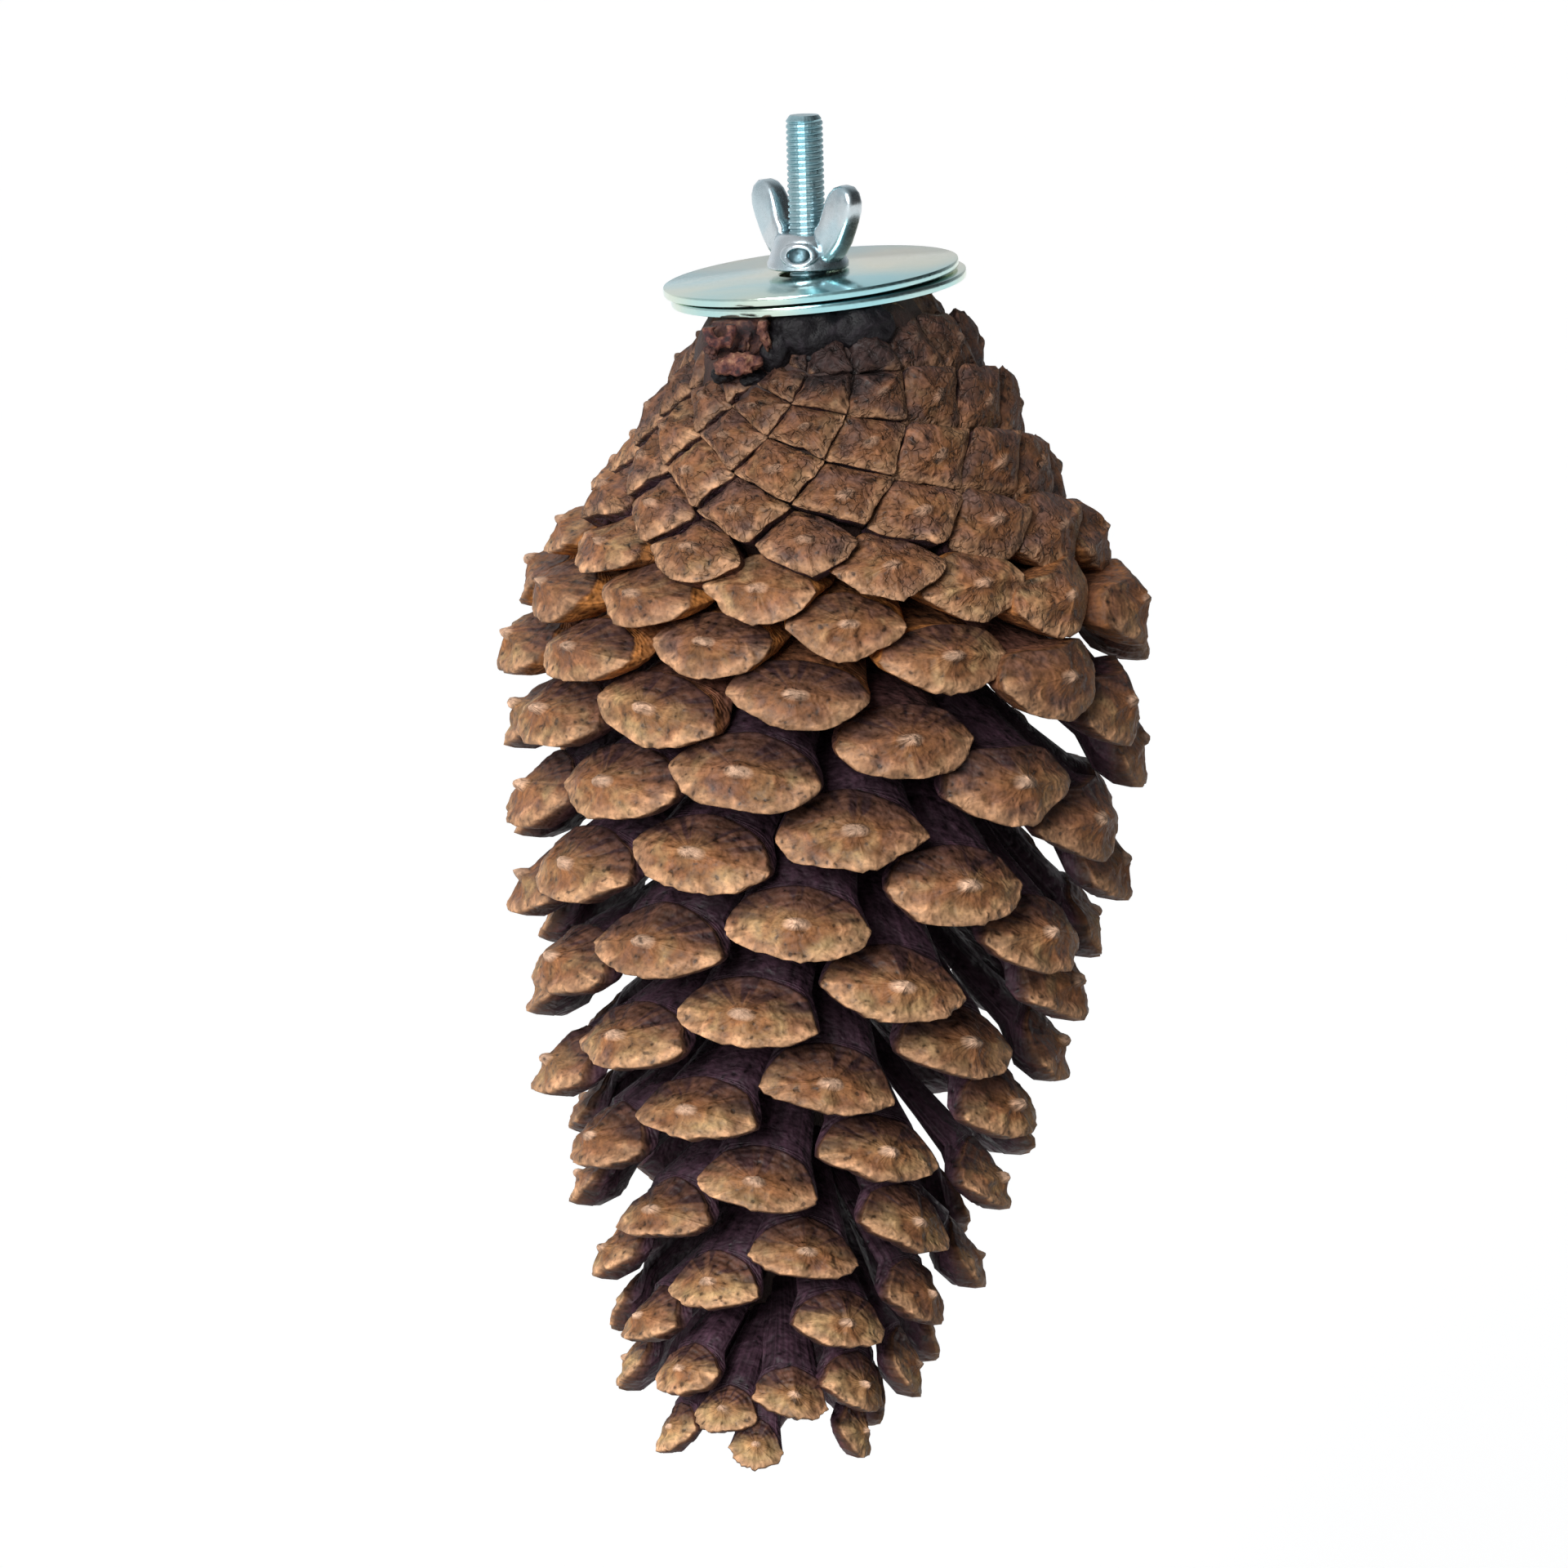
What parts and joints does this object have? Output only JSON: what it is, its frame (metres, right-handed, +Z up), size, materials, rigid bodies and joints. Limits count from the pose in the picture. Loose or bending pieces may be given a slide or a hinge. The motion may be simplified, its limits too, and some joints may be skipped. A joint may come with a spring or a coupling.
{
  "type": "hanging pine cone",
  "caption": "Long open pine cone on a hanger bolt, with wide washers and a wing nut that clamp it under a cage bar.",
  "frame": {"origin": "on the hanger bolt's axis, halfway between the two washers, where a cage bar is clamped", "axes": "+Z up along the hanger bolt's axis to its free end, -Y towards the front of the cone, +X to the right seen from the front"},
  "size_m": [0.0887, 0.0872, 0.1851],
  "materials": {
    "cone_scales": "dry woody cone scale, matt, striate",
    "bolt_zinc": "bright zinc plated thread",
    "washer_zinc": "bright zinc plated, faint yellow and blue passivation tint",
    "nut_zinc": "bright zinc plated casting"
  },
  "bodies": {
    "hanger": {"pine_cone": "cone_scales", "hanger_bolt": "bolt_zinc", "lower_washer": "washer_zinc"},
    "upper_washer": {"upper_washer": "washer_zinc"},
    "wing_nut": {"wing_nut": "nut_zinc"}
  },
  "joints": [
    {"name": "washer_lift", "type": "slide", "parent": "hanger", "child": "upper_washer", "axis": [0, 0, 1], "range_m": [0, 0.0073]},
    {"name": "wing_nut_turn", "type": "hinge", "parent": "upper_washer", "child": "wing_nut", "pos_m": [0, 0, 0.005], "axis": [0, 0, 1], "range_deg": [0, 3240]}
  ],
  "couplings": [
    {"joint": "washer_lift", "follows": "wing_nut_turn", "m_per_rad": 0.00012732}
  ]
}
